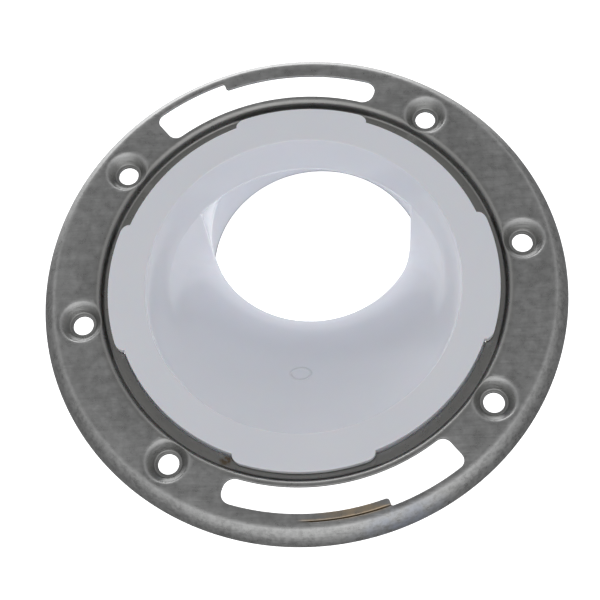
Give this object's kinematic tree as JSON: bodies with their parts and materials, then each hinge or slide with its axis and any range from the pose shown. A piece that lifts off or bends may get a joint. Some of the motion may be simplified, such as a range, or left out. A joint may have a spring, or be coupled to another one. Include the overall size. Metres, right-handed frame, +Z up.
{
  "type": "offset toilet flange",
  "caption": "Offset toilet flange: a white plastic bowl sloping down into a side-set drain hub, with a flat metal swivel ring round its rim, slotted for closet bolts.",
  "frame": {"origin": "where the ring's swivel axis meets the finished floor, the plane of the ring's turned-down outer edge", "axes": "+Z up along the swivel axis, +Y from the bowl towards the offset drain hub, +X to the right"},
  "size_m": [0.1794, 0.192, 0.1033],
  "materials": {
    "white_pvc": "smooth moulded, slightly glossy light grey-white",
    "stainless_sheet": "dull mill-finish stamped sheet with faint blotches and a heat tint beside one slot"
  },
  "bodies": {
    "flange": {"flange_body": "white_pvc"},
    "ring": {"swivel_ring": "stainless_sheet"}
  },
  "joints": [
    {"name": "ring_swivel", "type": "hinge", "parent": "flange", "child": "ring", "pos_m": [0, 0, 0], "axis": [0, 0, 1], "continuous": true}
  ]
}
